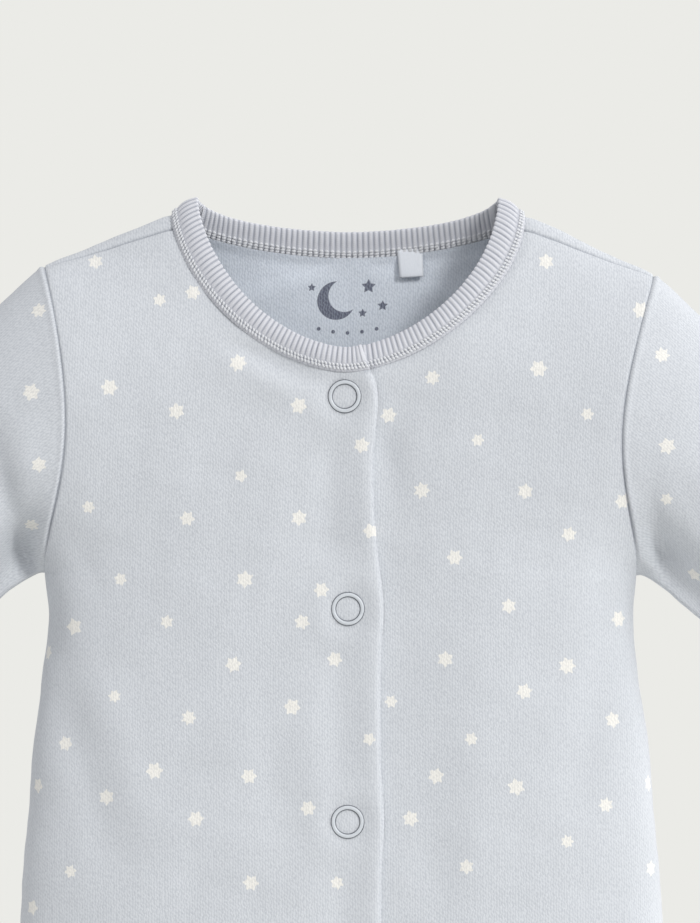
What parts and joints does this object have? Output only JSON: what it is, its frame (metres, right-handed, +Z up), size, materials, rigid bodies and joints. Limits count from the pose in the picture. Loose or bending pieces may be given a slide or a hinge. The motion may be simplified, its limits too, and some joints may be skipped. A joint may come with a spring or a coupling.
{
  "type": "footed baby sleepsuit",
  "caption": "Long-sleeved footed baby sleepsuit in star-print jersey with a ribbed round neck and a snapped front lap, filled out as worn.",
  "frame": {"origin": "middle of the neck, level with the tops of the shoulders at the neckband, where a wearer carries the garment", "axes": "+Z up, +X towards the wearer's left, -Y the front"},
  "size_m": [0.4508, 0.1044, 0.5207],
  "materials": {
    "jersey": "pale blue-grey interlock jersey with a cream star print",
    "rib": "pale grey melange rib with a twin-needle coverstitch",
    "snap": "pale blue-grey enamel",
    "satin": "pale blue satin ribbon, blank"
  },
  "bodies": {
    "root": {"front_right": "jersey", "front_left": "jersey", "back": "jersey", "sleeve_right": "jersey", "sleeve_left": "jersey", "foot_upper_right": "jersey", "foot_upper_left": "jersey", "sole_right": "jersey", "sole_left": "jersey", "neckband": "rib", "snap_ring_1": "snap", "snap_ring_2": "snap", "snap_ring_3": "snap", "snap_ring_4": "snap", "size_tab": "satin"}
  },
  "joints": []
}
